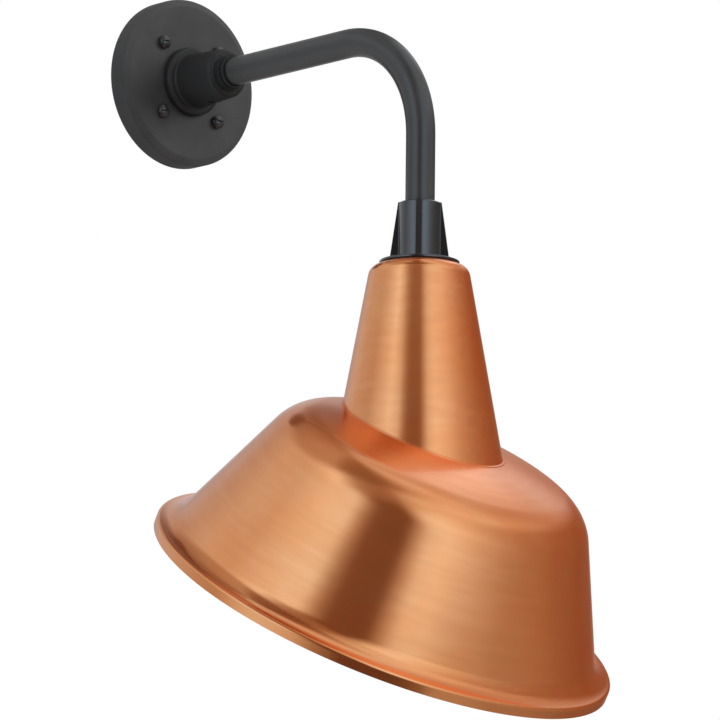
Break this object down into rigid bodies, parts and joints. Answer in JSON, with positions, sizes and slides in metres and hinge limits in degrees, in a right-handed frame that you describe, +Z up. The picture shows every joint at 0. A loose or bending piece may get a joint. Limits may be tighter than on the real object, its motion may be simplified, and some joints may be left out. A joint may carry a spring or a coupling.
{
  "type": "barn light",
  "caption": "Gooseneck barn light: a round black wall plate, a bent tube arm and an angled copper shade that turns about the arm's end.",
  "frame": {"origin": "centre of the wall plate's back, on the wall and on the arm's axis, midway between the box slots", "axes": "+Y points into the wall, so the light stands out along -Y; +Z is up; +X is to the right for a viewer who faces the wall"},
  "size_m": [0.3469, 0.3954, 0.575],
  "materials": {
    "black_casting": "satin powder coat over a casting",
    "black_tube": "satin powder coat over steel tube",
    "black_screw": "satin black",
    "copper": "satin copper, brushed round the axis",
    "zinc_steel": "zinc plated",
    "rubber": "matt",
    "ground_green": "green plated steel",
    "cable_jacket": "matt",
    "black_insulation": "matt",
    "white_insulation": "matt",
    "green_insulation": "matt",
    "porcelain": "glazed",
    "fibre": "matt",
    "brass": "bright",
    "bulb_base_metal": "bright",
    "black_glass": "gloss",
    "frosted_glass": "frosted inside"
  },
  "bodies": {
    "wall_arm": {"wall_gasket": "rubber", "mounting_ring": "zinc_steel", "wall_plate": "black_casting", "plate_screws": "black_screw", "ground_screw": "ground_green", "hub": "black_casting", "hub_set_screw": "zinc_steel", "arm_tube": "black_tube", "arm_lock_nut": "zinc_steel", "arm_bushings": "rubber", "arm_cable": "cable_jacket", "lead_black": "black_insulation", "lead_white": "white_insulation", "lead_green": "green_insulation"},
    "shade": {"shade_cap": "black_casting", "cap_set_screw": "zinc_steel", "cap_gasket": "rubber", "shade_neck": "copper", "shade_skirt": "copper", "lock_washer": "zinc_steel", "cap_lock_nut": "zinc_steel", "cap_bushing": "rubber", "socket_body": "porcelain", "socket_screws": "zinc_steel", "terminal_screws": "brass", "contact_insulator": "fibre", "center_contact": "brass", "screw_shell": "brass", "socket_cable": "cable_jacket", "socket_lead_black": "black_insulation", "socket_lead_white": "white_insulation"},
    "bulb": {"bulb_contact": "zinc_steel", "bulb_insulator": "black_glass", "bulb_base": "bulb_base_metal", "bulb_glass": "frosted_glass"}
  },
  "joints": [
    {"name": "shade_swivel", "type": "hinge", "parent": "wall_arm", "child": "shade", "pos_m": [0, -0.2775, -0.15], "axis": [0, 0, 1], "range_deg": [-175, 175]},
    {"name": "bulb_unscrew", "type": "slide", "parent": "shade", "child": "bulb", "axis": [0, 0, -1], "range_m": [0, 0.035]}
  ]
}
